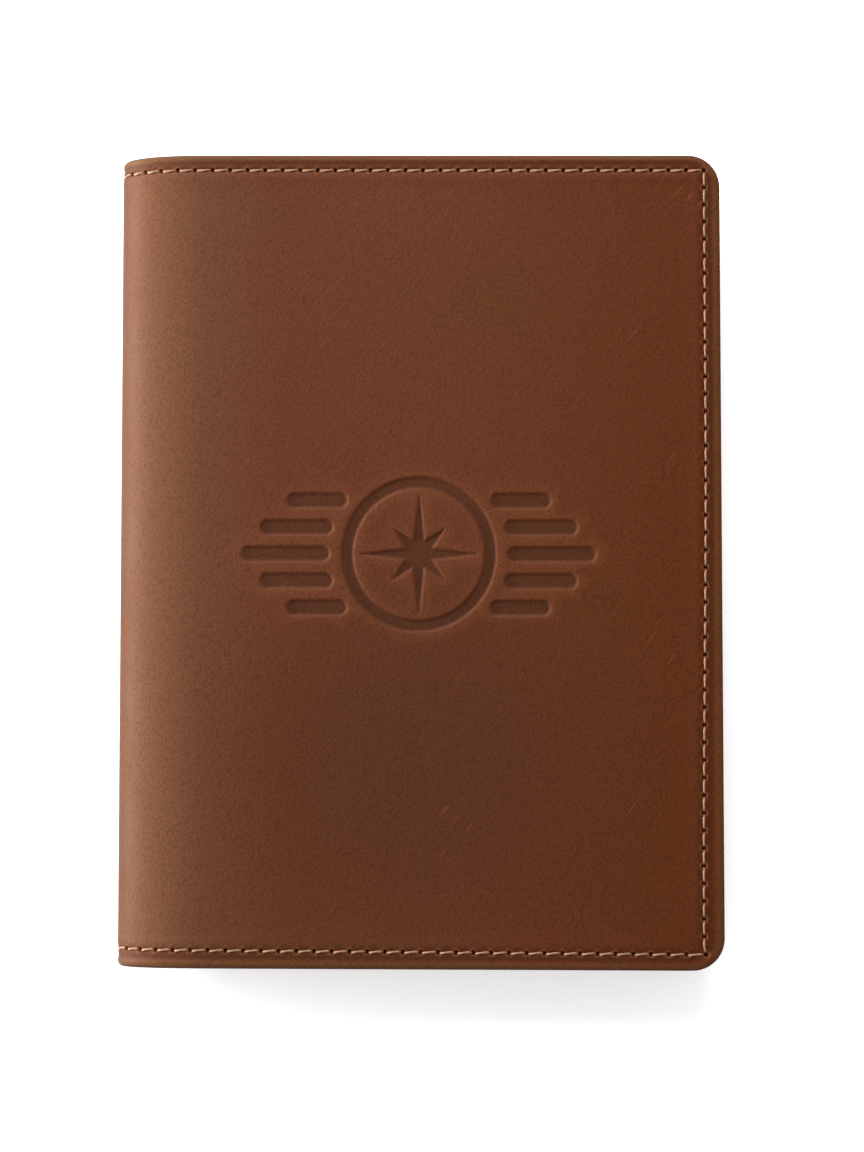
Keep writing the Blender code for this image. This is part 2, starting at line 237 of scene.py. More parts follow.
def u_ring(inset, radius, counts):
    """Points along the bottom, fore-edge and top of a cover, set in by inset. Rings with the same counts
    have the same number of points."""
    long, corner, side = counts
    edge_s, edge_y = FORE_S - inset, HALF_HEIGHT - inset
    in_s, in_y = edge_s - radius, edge_y - radius
    return np.concatenate((
        straight((0, -edge_y), (in_s, -edge_y), long),
        arc((in_s, -in_y), radius, -90, 0, corner),
        straight((edge_s, -in_y), (edge_s, in_y), side),
        arc((in_s, in_y), radius, 0, 90, corner),
        straight((in_s, edge_y), (0, edge_y), long + 1, endpoint=True),
    ))


def ring_with_spacing(inset, radius, spacing):
    counts = (int(FORE_S / spacing), max(2, int(1.6 * radius / spacing)), int(2 * HALF_HEIGHT / spacing))
    return u_ring(inset, radius, counts)


def grid(low_s, high_s, low_y, high_y, step_s, step_y):
    s = np.arange(low_s, high_s, step_s)
    y = np.arange(low_y, high_y, step_y)
    return np.stack(np.meshgrid(s, y), -1).reshape(-1, 2)


def spread(loop, groups):
    """Joins groups of points, dropping any that lies closer to an earlier one than its clearance."""
    kept = [np.asarray(loop)]
    for points, clearance in groups:
        placed = np.concatenate(kept)
        tree = kdtree.KDTree(len(placed))
        for i, (s, y) in enumerate(placed):
            tree.insert((s, y, 0), i)
        tree.balance()
        far = [tree.find((s, y, 0))[2] >= clearance for s, y in points]
        kept.append(np.asarray(points)[far])
    return np.concatenate(kept[1:]) if groups else np.empty((0, 2))


# ---- meshes

# An edge between two faces is shown sharp when they meet at more than this many degrees.
SHARP_EDGE = 50
SHARP_THREAD = 70


def triangulate(loop, inside):
    """Triangles over a closed loop and the points inside it. The loop's points come first."""
    points = [Vector(p) for p in np.concatenate((loop, inside)) / MM]
    rows, _, triangles, origins, _, _ = delaunay_2d_cdt(points, [], [list(range(len(loop)))], 1, 1e-5)
    number = {}
    for new, old in enumerate(origins):
        for i in old:
            number[i] = new
    order = [number[i] for i in range(len(loop))]
    return np.array([tuple(p) for p in rows]) * MM, [list(t) for t in triangles], order


def add_object(name, data):
    made = bpy.data.objects.new(name, data)
    bpy.context.scene.collection.objects.link(made)
    return made


def make_piece(name, points, faces, design, material, sharp_degrees):
    """A closed mesh from points and faces. It keeps the design coordinates that its material follows."""
    mesh = bpy.data.meshes.new(name)
    mesh.from_pydata(points.tolist(), [], faces)
    rest = mesh.attributes.new("design", "FLOAT_VECTOR", "POINT")
    rest.data.foreach_set("vector", design.astype(np.float32).ravel())
    solid = bmesh.new()
    solid.from_mesh(mesh)
    loose = [v for v in solid.verts if not v.link_faces]
    bmesh.ops.delete(solid, geom=loose, context="VERTS")
    opening = [e for e in solid.edges if e.is_boundary]
    if opening:
        filled = bmesh.ops.holes_fill(solid, edges=opening)
        bmesh.ops.triangulate(solid, faces=filled["faces"])
    bmesh.ops.recalc_face_normals(solid, faces=solid.faces)
    solid.to_mesh(mesh)
    solid.free()
    mesh.shade_smooth()
    mesh.set_sharp_from_angle(angle=math.radians(sharp_degrees))
    mesh.materials.append(material)
    return add_object(name, mesh)


def design_of(mesh):
    """The design coordinates s, y and depth that a mesh keeps."""
    design = np.zeros(len(mesh.vertices) * 3, np.float32)
    mesh.attributes["design"].data.foreach_get("vector", design)
    return design.reshape(-1, 3).astype(float).T


def store(mesh, **layers):
    """Stores a value for each point of a mesh, under each layer's name."""
    for name, values in layers.items():
        layer = mesh.attributes.new(name, "FLOAT", "POINT")
        layer.data.foreach_set("value", values.astype(np.float32))


def shell(name, side, rings, face_points, face_depth, back_points, material, column=None):
    """A closed shell. Its visible face fills the first ring, its walls run from ring to ring, and its
    back fills the last ring. A ring is its points and their depth. Without a column the rings are
    closed; with one they are open, and the column of points at s = 0 closes the face and the back."""
    def loop_of(points):
        if column is None:
            return points
        edge = points[0][1]
        closing = [(0, y) for y in column if abs(y) < abs(edge) - 0.05 * MM]
        return np.concatenate((points, closing[::-1]))

    first, last = rings[0][0], rings[-1][0]
    flat, faces, order = triangulate(loop_of(first), face_points)
    design = [np.column_stack((flat, face_depth(flat[:, 0], flat[:, 1])))]
    total = len(flat)
    previous = order[: len(first)]
    for points, depth in rings[1:-1]:
        design.append(np.column_stack((points, np.full(len(points), depth))))
        current = list(range(total, total + len(points)))
        total += len(points)
        faces += wall(previous, current, column is None)
        previous = current
    flat, triangles, order = triangulate(loop_of(last), back_points)
    design.append(np.column_stack((flat, np.full(len(flat), rings[-1][1]))))
    faces += [[total + i for i in reversed(t)] for t in triangles]
    faces += wall(previous, [total + i for i in order[: len(last)]], column is None)
    design = np.concatenate(design)
    return make_piece(name, place(side, *design.T), faces, design, material, SHARP_EDGE)


def wall(lower, upper, closed):
    count = len(lower) if closed else len(lower) - 1
    after = [(i + 1) % len(lower) for i in range(count)]
    return [[lower[j], lower[i], upper[i], upper[j]] for i, j in zip(range(count), after)]


# ---- the seam


def row_holes():
    """Needle holes of the seam: along the bottom, up the fore-edge and back along the top. The first and
    last lie half a stitch beyond the middle of the spine, on the other cover's half."""
    corner_s, corner_y = FORE_S - SEAM_INSET, HALF_HEIGHT - SEAM_INSET
    count = round(corner_s / STITCH_PITCH - 0.5)
    pitch = corner_s / (count + 0.5)
    row = corner_s - pitch * np.arange(count + 2)
    bottom = np.stack((row[::-1], np.full(count + 2, -corner_y)), -1)
    top = np.stack((row, np.full(count + 2, corner_y)), -1)
    side_count = round(2 * corner_y / STITCH_PITCH)
    side = straight((corner_s, -corner_y), (corner_s, corner_y), side_count)[1:]
    return np.concatenate((bottom, side, top))


HOLES = row_holes()


def hole_distance(s, y):
    points = rows_of(s, y)
    nearest = np.full(len(points), 1.0)
    for hole in HOLES:
        nearest = np.minimum(nearest, np.hypot(*(points - hole).T))
    return nearest.reshape(np.shape(s))


def hole_points():
    """Points that draw the needle holes: each one's middle and three rings round it."""
    made = [HOLES]
    for radius, count in ((0.16 * MM, 6), (0.32 * MM, 10), (0.52 * MM, 12)):
        for hole in HOLES:
            made.append(arc(hole, radius, 0, 360, count))
    return np.concatenate(made)


def seam_groove(s, y):
    return GROOVE_DEPTH * bell(seam_offset(s, y) / GROOVE_HALF_WIDTH)


def seam_band(offsets, spacing):
    rings = [ring_with_spacing(SEAM_INSET - o, max(SEAM_CORNER + o, 0.15 * MM), spacing) for o in offsets]
    return np.concatenate(rings)


# ---- the emblem


def segment_distance(p, start, end):
    start, line = np.array(start), np.array(end) - np.array(start)
    share = np.clip(((p - start) @ line) / (line @ line), 0, 1)
    return np.hypot(*(p - start - share[:, None] * line).T)


def polygon_distance(p, corners):
    """Signed distance from a closed polygon, negative inside."""
    inside = np.zeros(len(p), bool)
    nearest = np.full(len(p), np.inf)
    for a, b in zip(corners, np.roll(corners, -1, axis=0)):
        nearest = np.minimum(nearest, segment_distance(p, a, b))
        crosses = (a[1] > p[:, 1]) != (b[1] > p[:, 1])
        rise = np.where(b[1] == a[1], 1e-12, b[1] - a[1])
        inside ^= crosses & (p[:, 0] < (b[0] - a[0]) * (p[:, 1] - a[1]) / rise + a[0])
    return np.where(inside, -nearest, nearest)


def compass_star():
    """An eight-pointed star: long points up, down and sideways, and short ones between them."""
    corners = []
    for i in range(16):
        radius = (9.9, 2.5, 6.0, 2.5)[i % 4] * MM
        angle = math.tau * i / 16
        corners.append((radius * math.cos(angle), radius * math.sin(angle)))
    return np.array(corners)


EMBLEM_S = s_at((SPINE_X + FORE_X) / 2)
EMBLEM_RING_RADIUS = 12.3 * MM
EMBLEM_RING_HALF_WIDTH = 0.95 * MM
EMBLEM_BAR_HALF_WIDTH = 1.25 * MM
EMBLEM_STEP = 0.2 * MM


def emblem_distance(s, y):
    """Signed distance from the emblem: a star in a ring, with five bars on either side. Each row of the
    loop gives bars at one height above and below the middle, from near to far, in millimetres."""
    p = rows_of(s - EMBLEM_S, y - EMBLEM_Y)
    ring = np.abs(np.hypot(*p.T) - EMBLEM_RING_RADIUS) - EMBLEM_RING_HALF_WIDTH
    mirrored = np.abs(p)
    bars = np.full(len(p), np.inf)
    for height, near, far in ((0, 16.6, 29.2), (4.6, 16.0, 26.0), (9.2, 13.6, 21.4)):
        from_middle = segment_distance(mirrored, (near * MM, height * MM), (far * MM, height * MM))
        bars = np.minimum(bars, from_middle - EMBLEM_BAR_HALF_WIDTH)
    distance = np.minimum(np.minimum(ring, bars), polygon_distance(p, compass_star()))
    return distance.reshape(np.shape(s))


def emblem_points():
    """Points near the emblem's outline, moved on to lines that run alongside it."""
    step = EMBLEM_STEP
    reach_s, reach_y = 31.5 * MM, 14.5 * MM
    low_y, high_y = EMBLEM_Y - reach_y, EMBLEM_Y + reach_y
    points = grid(EMBLEM_S - reach_s, EMBLEM_S + reach_s, low_y, high_y, step, step)
    distance = emblem_distance(*points.T)
    near = np.abs(distance) < 3.2 * step
    points, distance = points[near], distance[near]
    probe = 0.01 * MM
    slope_s = (emblem_distance(points[:, 0] + probe, points[:, 1]) - distance) / probe
    slope_y = (emblem_distance(points[:, 0], points[:, 1] + probe) - distance) / probe
    line = np.round(distance / step) * step
    slope = np.stack((slope_s, slope_y), -1)
    slope /= np.maximum(np.hypot(*slope.T), 1e-6)[:, None]
    moved = points + slope * (line - distance)[:, None]
    settled = np.abs(emblem_distance(*moved.T) - line) < 0.02 * MM
    moved = moved[settled]
    cell = np.round(moved / (0.55 * step)).astype(int)
    _, first = np.unique(cell, axis=0, return_index=True)
    return moved[np.sort(first)]


def emblem_relief(s, y):
    """The emblem is pressed in, and the leather swells a little round it."""
    distance = emblem_distance(s, y)
    floor = EMBLEM_DEPTH * smoothstep(0.5 - distance / EMBLEM_WALL)
    swell = 0.06 * MM * bell((distance - 0.7 * MM) / (0.5 * MM))
    return floor - swell


# ---- outer leather


def slow_wave(s, y):
    """The gentle unevenness of leather over board. It is still at the middle of the spine."""
    across = np.sin(2.1 + s / (17 * MM) + np.sin(y / (31 * MM)))
    along = np.sin(0.7 + y / (23 * MM) - s / (41 * MM))
    off_the_spine = smoothstep(s / (25 * MM))
    off_the_edge = smoothstep((edge_distance(s, y) - 4 * MM) / (8 * MM))
    return 0.06 * MM * (across * along) * off_the_spine * off_the_edge


def leather_without_holes(s, y):
    """Depth of the outer leather below its nominal surface, away from the needle holes."""
    offset = seam_offset(s, y)
    edge = edge_distance(s, y)
    crease = 0.13 * MM * bell((edge - 1.65 * MM) / (0.42 * MM))
    swell = 0.08 * MM * bell((offset + 1.35 * MM) / (0.6 * MM))
    still = smoothstep((edge - EDGE_ROLL) / (0.5 * MM))
    return (seam_groove(s, y) + crease - swell) * still + slow_wave(s, y)


def outer_face(side):
    def depth(s, y):
        hole = hole_distance(s, y)
        pit = HOLE_DEPTH * smoothstep(1 - (hole - 0.08 * MM) / (HOLE_RADIUS * 1.5))
        pucker = 0.09 * MM * bell((hole - 0.55 * MM) / (0.16 * MM))
        made = leather_without_holes(s, y) + pit - pucker
        return made + emblem_relief(s, y) if side == "front" else made
    return depth


def roll(inset, radius, near, far, steps):
    """The rings of a rounded edge from depth near to depth far: inset, corner radius and depth."""
    half = (far - near) / 2
    bulge = abs(half)
    rings = []
    for angle in np.linspace(0, math.pi, steps + 1):
        out = bulge * math.sin(angle)
        rings.append((inset + bulge - out, radius - bulge + out, near + half * (1 - math.cos(angle))))
    return rings


RING_COUNTS = (150, 12, 190)
COLUMN = np.unique(np.concatenate((
    np.arange(-62, 62.1, 1.5) * MM,
    np.arange(62, HALF_HEIGHT / MM, 0.22) * MM,
    -np.arange(62, HALF_HEIGHT / MM, 0.22) * MM,
)))


def ringed(rings):
    return [(u_ring(inset, radius, RING_COUNTS), depth) for inset, radius, depth in rings]


def spine_points(inset):
    reach = HALF_HEIGHT - inset
    return grid(UPRIGHT_STRIP, 20 * MM, -reach, reach, 0.8 * MM, 1.6 * MM)


def cover_points(inset, spacing):
    reach = HALF_HEIGHT - inset
    return grid(spacing / 2, FORE_S - inset, spacing / 2 - reach, reach, spacing, spacing)


def outer_leather(side, material):
    """The outer leather over one cover and its half of the spine, with its edge rolled inwards."""
    hem_depth = 2 * EDGE_ROLL
    rings = roll(0, CORNER_RADIUS, 0, hem_depth, 10)
    rings += [(2.6 * MM, 3.2 * MM, hem_depth)]
    rings += [(HEM_WIDTH, HEM_CORNER, depth) for depth in (hem_depth, LEATHER)]
    near_edge = [ring_with_spacing(i * MM, (5.5 - i) * MM, 0.5 * MM) for i in (1.1, 1.4, 1.7, 2.0)]
    groups = [
        (hole_points(), 0.06 * MM),
        (seam_band(np.array((-1.3, -0.95, -0.65, -0.4, -0.2, 0, 0.2, 0.4)) * MM, 0.33 * MM), 0.15 * MM),
        (np.concatenate(near_edge), 0.2 * MM),
        (spine_points(2 * MM), 0.5 * MM),
        (ring_with_spacing(4.6 * MM, 0.8 * MM, 0.9 * MM), 0.45 * MM),
        (cover_points(4 * MM, 1.8 * MM), 0.9 * MM),
    ]
    if side == "front":
        groups.insert(3, (emblem_points(), 0.08 * MM))
    rings = ringed(rings)
    face_points = spread(rings[0][0], groups)
    back_points = spread(rings[-1][0], [(spine_points(HEM_WIDTH), 0.7 * MM)])
    name = side + "_outer_leather"
    return shell(name, side, rings, face_points, outer_face(side), back_points, material, COLUMN)


# ---- lining


def depth_range(node, side):
    """Depths of a flat node's outer and inner faces."""
    low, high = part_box(node)
    if side == "back":
        return low.z, high.z
    return THICKNESS - high.z, THICKNESS - low.z


LINING_FAR = depth_range("passport_sleeve_hem", "back")[0] - 0.25 * MM
LINING_NEAR = 2 * EDGE_ROLL + 0.1 * MM


def lining_face(s, y):
    return LINING_FAR - 0.16 * MM * bell(seam_offset(s, y) / INNER_GROOVE_HALF_WIDTH)


def lining(side, material):
    rings = ringed(roll(LINING_INSET, CORNER_RADIUS - LINING_INSET, LINING_FAR, LINING_NEAR, 6))
    groups = [
        (seam_band(SEAM_ROWS, 0.8 * MM), 0.25 * MM),
        (spine_points(4 * MM), 0.5 * MM),
        (cover_points(4 * MM, 3 * MM), 1.5 * MM),
    ]
    face_points = spread(rings[0][0], groups)
    back_points = spread(rings[-1][0], [(spine_points(2 * MM), 0.7 * MM)])
    name = side + "_lining_cloth"
    return shell(name, side, rings, face_points, lining_face, back_points, material, COLUMN)


# ---- pockets

POCKET_SPACING = 0.7 * MM
POCKET_EDGE, POCKET_REACH = FORE_S - SLEEVE_INSET, HALF_HEIGHT - SLEEVE_INSET
POCKET_ROUND = CORNER_RADIUS - SLEEVE_INSET


def offset_loop(loop, distance):
    """A closed loop moved outwards by a small distance. The loop runs anticlockwise."""
    along = np.roll(loop, -1, axis=0) - np.roll(loop, 1, axis=0)
    along /= np.hypot(*along.T)[:, None]
    return loop + distance * np.stack((along[:, 1], -along[:, 0]), -1)


def rounded_loop(corners, spacing):
    """A closed loop through corners, each given as s, y and a radius, with points every spacing."""
    loop = []
    count = len(corners)
    places = np.array([corner[:2] for corner in corners])
    entries = []
    for i, (*_, radius) in enumerate(corners):
        here = places[i]
        before, after = unit(places[i - 1] - here), unit(places[(i + 1) % count] - here)
        half_turn = math.acos(np.clip(before @ after, -1, 1)) / 2
        reach = radius / math.tan(half_turn)
        centre = here + unit(before + after) * radius / math.sin(half_turn)
        entries.append((here + before * reach, here + after * reach, centre, radius))
    for i, (start, end, centre, radius) in enumerate(entries):
        first = math.degrees(math.atan2(*(start - centre)[::-1]))
        last = math.degrees(math.atan2(*(end - centre)[::-1]))
        last = first + (last - first + 180) % 360 - 180
        loop.append(arc(centre, radius, first, last, max(4, int(radius * 1.6 / spacing))))
        next_start = entries[(i + 1) % count][0]
        steps = max(1, int(np.hypot(*(next_start - end)) / spacing))
        loop.append(straight(end, next_start, steps))
    return np.concatenate(loop)


def mouth_path(mouth_s, notch_y, low_y, high_y):
    """A pocket's mouth from its top end to its bottom end, with a round thumb notch in it."""
    past = NOTCH_RADIUS - NOTCH_DEPTH
    rise = math.sqrt((NOTCH_RADIUS + NOTCH_FILLET) ** 2 - (NOTCH_FILLET + past) ** 2)
    turn = math.degrees(math.atan2(rise, NOTCH_FILLET + past))
    high, low = notch_y + rise, notch_y - rise
    return np.concatenate((
        straight((mouth_s, high_y), (mouth_s, high), 60),
        arc((mouth_s + NOTCH_FILLET, high), NOTCH_FILLET, 180, 180 + turn, 8),
        arc((mouth_s - past, notch_y), NOTCH_RADIUS, turn, -turn, 40),
        arc((mouth_s + NOTCH_FILLET, low), NOTCH_FILLET, 180 - turn, 180, 8),
        straight((mouth_s, low), (mouth_s, low_y), 80),
    ))


def path_distance(s, y, path):
    points = rows_of(s, y)
    nearest = np.full(len(points), np.inf)
    for start, end in zip(path[:-1], path[1:]):
        nearest = np.minimum(nearest, segment_distance(points, start, end))
    return nearest.reshape(np.shape(s))


def slab(name, side, loop, near, far, face_depth, points, material):
    """A flat layer with rounded edges. Its visible face is the inner one, at depth far."""
    bulge = (far - near) / 2
    rings = []
    for angle in np.linspace(0, math.pi, 7):
        outline = offset_loop(loop, bulge * (math.sin(angle) - 1))
        rings.append((outline, far - bulge * (1 - math.cos(angle))))
    inside = spread(rings[0][0], points)
    return shell(name, side, rings, inside, face_depth, np.empty((0, 2)), material)


def pocket_loop(mouth_s, notch_y):
    """A pocket's outline, and the part of it that is the mouth."""
    edge, reach, outer, tight = POCKET_EDGE, POCKET_REACH, POCKET_ROUND, POCKET_CORNER
    loop = rounded_loop([
        (mouth_s, -reach, tight), (edge, -reach, outer), (edge, reach, outer), (mouth_s, reach, tight),
    ], POCKET_SPACING)
    mouth = mouth_path(mouth_s, notch_y, tight - reach, reach - tight)
    on_mouth = np.abs(loop[:, 0] - mouth_s) < 0.001 * MM
    on_mouth[0] = False
    return np.concatenate((loop[~on_mouth], mouth)), mouth


def pocket_lift(mouth_s):
    """How far a pocket's panel stands off, most at the middle of its mouth."""
    def lift(s, y):
        inside = smoothstep((edge_distance(s, y) - 4 * MM) / (22 * MM))
        return 0.22 * MM * inside * (1 - 0.6 * smoothstep((s - mouth_s) / (70 * MM)))
    return lift


def pocket_groups(mouth_lines):
    """Mesh points inside a pocket's panel, each group with its clearance."""
    return [
        (np.concatenate(mouth_lines), 0.15 * MM),
        (seam_band(SEAM_ROWS, POCKET_SPACING), 0.25 * MM),
        (cover_points(3 * MM, 2.4 * MM), 1.1 * MM),
    ]


def creased_depth(s, y, top, from_mouth):
    """Depth of a pocket's panel: a seam groove on three sides and a creased line along the mouth."""
    groove = INNER_GROOVE_DEPTH * bell(seam_offset(s, y) / INNER_GROOVE_HALF_WIDTH)
    return top - groove - CREASE_DEPTH * bell((from_mouth - CREASE_INSET) / (0.25 * MM))


def pocket_face(far, mouth, lift):
    def depth(s, y):
        return creased_depth(s, y, far + lift(s, y), path_distance(s, y, mouth))
    return depth


def build_pocket(name, side, notch_y, materials):
    """A full-height pocket: its panel, and the turned edge that holds the panel off the lining."""
    mouth_s = start_s(name)
    near, far = depth_range(name, side)
    loop, mouth = pocket_loop(mouth_s, notch_y)
    points = pocket_groups([offset_loop(mouth, -inset)[2:-2] for inset in MOUTH_ROWS])
    face = pocket_face(far, mouth, pocket_lift(mouth_s))
    panel = slab(name + "_panel", side, loop, near, far, face, points, materials["inner_leather"])
    mark_mouth(panel, mouth)
    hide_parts(name)
    finish_piece(panel, side + "_cover")

    near, far = depth_range(name + "_hem", side)
    hem_s = start_s(name + "_hem")
    hem = turned_edge(name, side, hem_s, near, far + 0.2 * MM, materials["inner_leather"])
    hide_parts(name + "_hem")
    finish_piece(hem, side + "_cover")


def turned_edge(name, side, start, near, far, material):
    """The U-shaped turned edge under a pocket's panel."""
    edge, reach = POCKET_EDGE, POCKET_REACH
    in_edge, in_reach = edge - SLEEVE_HEM_WIDTH, reach - SLEEVE_HEM_WIDTH
    outer, inner, end = POCKET_ROUND, HEM_CORNER, 0.5 * MM
    loop = rounded_loop([
        (start, -reach, end), (edge, -reach, outer), (edge, reach, outer), (start, reach, end),
        (start, in_reach, end), (in_edge, in_reach, inner),
        (in_edge, -in_reach, inner), (start, -in_reach, end),
    ], 0.9 * MM)
    return slab(name + "_turned_edge", side, loop, near, far, lambda s, y: far + 0 * s, [], material)


CARD_START_S = start_s("card_slot_upper")
CARD_ROW_S = CARD_START_S + 2.0 * MM
CARD_NODES = ["card_slot_" + height for height in ("upper", "middle", "lower")]


def card_face(far, mouth_y, lift):
    """Depth of a card panel: a creased pocket's, with a groove for its spine-side stitches as well."""
    def depth(s, y):
        row = 0.15 * MM * bell((s - CARD_ROW_S) / (0.4 * MM))
        return creased_depth(s, y, far + lift(s, y), mouth_y - y) - row
    return depth


def mark_mouth(panel, mouth):
    """Stores how close a panel's leather is to its mouth: the rim, which gets painted shadow and some
    burnish, and the creased line, which gets painted shade.
    """
    s, y, _ = design_of(panel.data)
    distance = path_distance(s, y, mouth)
    rim = smoothstep((0.75 * MM - distance) / (0.35 * MM))
    store(panel.data, rim=rim, crease=bell((distance - CREASE_INSET) / (0.3 * MM)))


def build_card_slots(materials, lift):
    edge, reach = POCKET_EDGE, POCKET_REACH
    for node in CARD_NODES:
        near, far = depth_range(node, "front")
        mouth_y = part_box(node)[1].y
        loop = rounded_loop([
            (CARD_START_S, -reach, POCKET_CORNER), (edge, -reach, POCKET_ROUND),
            (edge, mouth_y, POCKET_CORNER), (CARD_START_S, mouth_y, MOUTH_CORNER),
        ], POCKET_SPACING)
        heights = [mouth_y - inset for inset in (*MOUTH_ROWS, 3.4 * MM)]
        mouth = [straight((CARD_START_S + 0.6 * MM, y), (edge, y), 110) for y in heights]
        columns = [CARD_ROW_S + aside * MM for aside in (-0.7, -0.35, 0, 0.35, 0.7)]
        row = [straight((s, -reach), (s, mouth_y - 0.5 * MM), 80) for s in columns]
        points = pocket_groups(mouth)
        points.insert(1, (np.concatenate(row), 0.2 * MM))
        points = [(inside_panel(p, mouth_y), clearance) for p, clearance in points]
        face = card_face(far, mouth_y, lift)
        panel = slab(node + "_panel", "front", loop, near, far, face, points, materials["inner_leather"])
        mark_mouth(panel, np.array([(CARD_START_S, mouth_y), (edge, mouth_y)]))
        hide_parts(node)
        finish_piece(panel, "front_cover")


def inside_panel(points, mouth_y):
    return points[(points[:, 1] < mouth_y - 0.4 * MM) & (points[:, 0] > CARD_START_S + 0.4 * MM)]


# ---- stitches

STITCH_RINGS = 13
STITCH_SIDES = 10
TWIST_PITCH = 1.9 * MM
STITCH_END_GAP = 0.22 * MM
STITCH_RISE = 0.13 * MM
STITCH_DIVE = 0.55 * MM
STITCH_TAPER = 0.34


def unit_rows(vectors):
    return vectors / np.linalg.norm(vectors, axis=1)[:, None]


def stitch(side, start, end, depth_at, rises, taper):
    """Points of one stitch, ring by ring: a two-ply thread that dives into a hole at either end."""
    along = np.linspace(0, 1, STITCH_RINGS)
    radius = THREAD_RADIUS * (1 + taper * (0.5 - along[:, None]))
    end_bend = np.abs(2 * along - 1)
    centre = np.array(start) + along[:, None] * (np.array(end) - np.array(start))
    lift = STITCH_RISE * (1 - end_bend**2) - STITCH_DIVE * end_bend**9
    depth = depth_at(*centre.T) - rises * lift
    middle = place(side, *centre.T, depth)
    above = place(side, *centre.T, depth - rises * 0.1 * MM)
    tangent = unit_rows(np.gradient(middle, axis=0))
    across = unit_rows(np.cross(tangent, unit_rows(above - middle)))
    up = np.cross(across, tangent)
    length = np.linalg.norm(middle[-1] - middle[0])
    angle = np.linspace(0, math.tau, STITCH_SIDES, endpoint=False)[None, :]
    twist = (along * length / TWIST_PITCH * math.pi * 2)[:, None]
    size = radius * (1 - 0.3 * end_bend[:, None] ** 4) * (1 + 0.17 * np.cos(2 * angle - twist))
    rim = middle[:, None, :] + size[..., None] * (
        np.cos(angle)[..., None] * across[:, None, :] + np.sin(angle)[..., None] * up[:, None, :]
    )
    return rim.reshape(-1, 3)


def stitch_faces():
    faces = []
    for ring in range(STITCH_RINGS - 1):
        for i in range(STITCH_SIDES):
            j = (i + 1) % STITCH_SIDES
            low, high = ring * STITCH_SIDES, (ring + 1) * STITCH_SIDES
            faces.append([low + i, low + j, high + j, high + i])
    faces.append(list(range(STITCH_SIDES))[::-1])
    last = (STITCH_RINGS - 1) * STITCH_SIDES
    faces.append([last + i for i in range(STITCH_SIDES)])
    return faces


def stitch_run(name, side, pairs, depth_at, rises, slant, material):
    """A row of stitches between pairs of holes, as one piece."""
    points, faces = [], []
    pattern = stitch_faces()
    for first, second in pairs:
        first, second = np.array(first), np.array(second)
        line = second - first
        along = unit(line)
        is_long_row = abs(line[0]) > abs(line[1])
        start, end = first + STITCH_END_GAP * along, second - STITCH_END_GAP * along
        taper = 0.0
        if is_long_row:
            way = math.copysign(1, line[0])
            taper = STITCH_TAPER * way
            lean = np.array((0, slant * way))
            start, end = start - lean, end + lean
        base = len(points) * STITCH_RINGS * STITCH_SIDES
        points.append(stitch(side, start, end, depth_at, rises, taper))
        faces += [[base + i for i in face] for face in pattern]
    points = np.concatenate(points)
    return make_piece(name, points, faces, points, material, SHARP_THREAD)


def seam_pairs(side):
    """Pairs of neighbouring holes. The stitch across the middle of the spine belongs to the front."""
    holes = HOLES if side == "front" else HOLES[1:-1]
    return list(zip(holes[:-1], holes[1:]))


def on_panel(s, node):
    """How far a point is up the step from the lining on to a pocket's panel, from 0 to 1."""
    return smoothstep((s - start_s(node) + LAYER_STEP) / LAYER_STEP)


def back_inner_depth(s, y):
    """Depth of the innermost surface along the back cover's seam. It is the same at every y."""
    sleeve = depth_range("passport_sleeve", "back")[1]
    return LINING_FAR + (sleeve - LINING_FAR) * on_panel(s, "passport_sleeve")


def front_inner_depth(s, y):
    """Depth of the innermost surface along the front cover's seams."""
    slip = depth_range("slip_pocket", "front")[1]
    on_pocket = on_panel(s, "slip_pocket")
    depth = LINING_FAR + (slip - LINING_FAR) * on_pocket
    below = slip
    for node in CARD_NODES:
        far = depth_range(node, "front")[1]
        mouth_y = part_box(node)[1].y
        on_card = smoothstep((mouth_y + LAYER_STEP - y) / LAYER_STEP) * on_pocket
        depth = depth + (far - below) * on_card
        below = far
    return depth


# ---- materials


